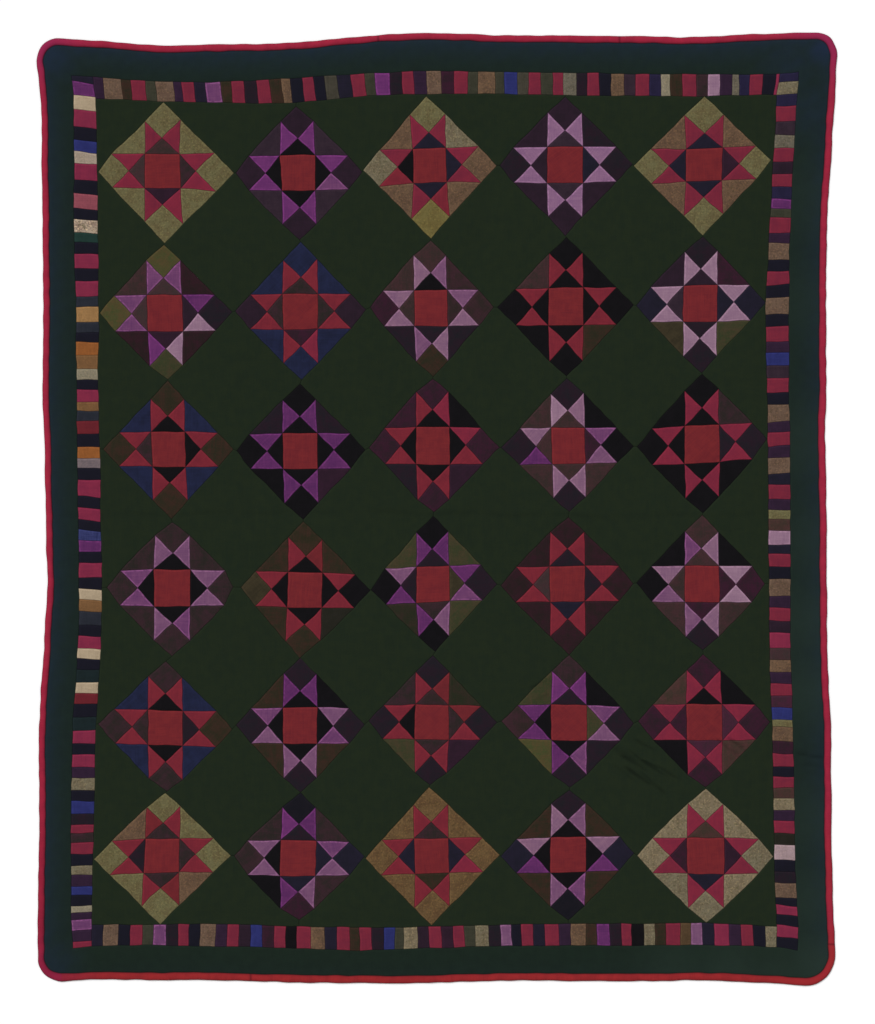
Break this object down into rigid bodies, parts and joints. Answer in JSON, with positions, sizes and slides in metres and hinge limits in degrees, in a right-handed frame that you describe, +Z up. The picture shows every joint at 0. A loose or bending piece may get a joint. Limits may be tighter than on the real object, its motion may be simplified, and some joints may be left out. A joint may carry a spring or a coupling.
{
  "type": "star quilt blanket",
  "caption": "Pieced quilt lying flat: star blocks set on point between plain squares, a pieced strip border, a plain outer border and a bound edge.",
  "frame": {"origin": "under the middle of the quilt's outline, on the surface it lies on", "axes": "+Z up out of the face, +Y towards the top edge of the picture along the length, +X to the right"},
  "size_m": [1.812, 2.1642, 0.0051],
  "materials": {
    "star_field": "wool and cotton patches in dark green, rose, lilac, brick, plum and olive, matt",
    "pieced_strip": "narrow wool and cotton bits in rose, navy, plum, tan and lilac, matt",
    "plain_border": "plain dark green cloth going blue-green towards the edge, matt",
    "binding": "crimson cloth folded over the edge, matt",
    "binding_lower": "brick red cloth folded over the edge, matt"
  },
  "bodies": {
    "root": {"star_field": "star_field", "pieced_strip_top": "pieced_strip", "pieced_strip_bottom": "pieced_strip", "pieced_strip_left": "pieced_strip", "pieced_strip_right": "pieced_strip", "border_top": "plain_border", "border_bottom": "plain_border", "border_left": "plain_border", "border_right": "plain_border", "binding_top": "binding", "binding_bottom": "binding_lower", "binding_left": "binding", "binding_right": "binding"}
  },
  "joints": []
}
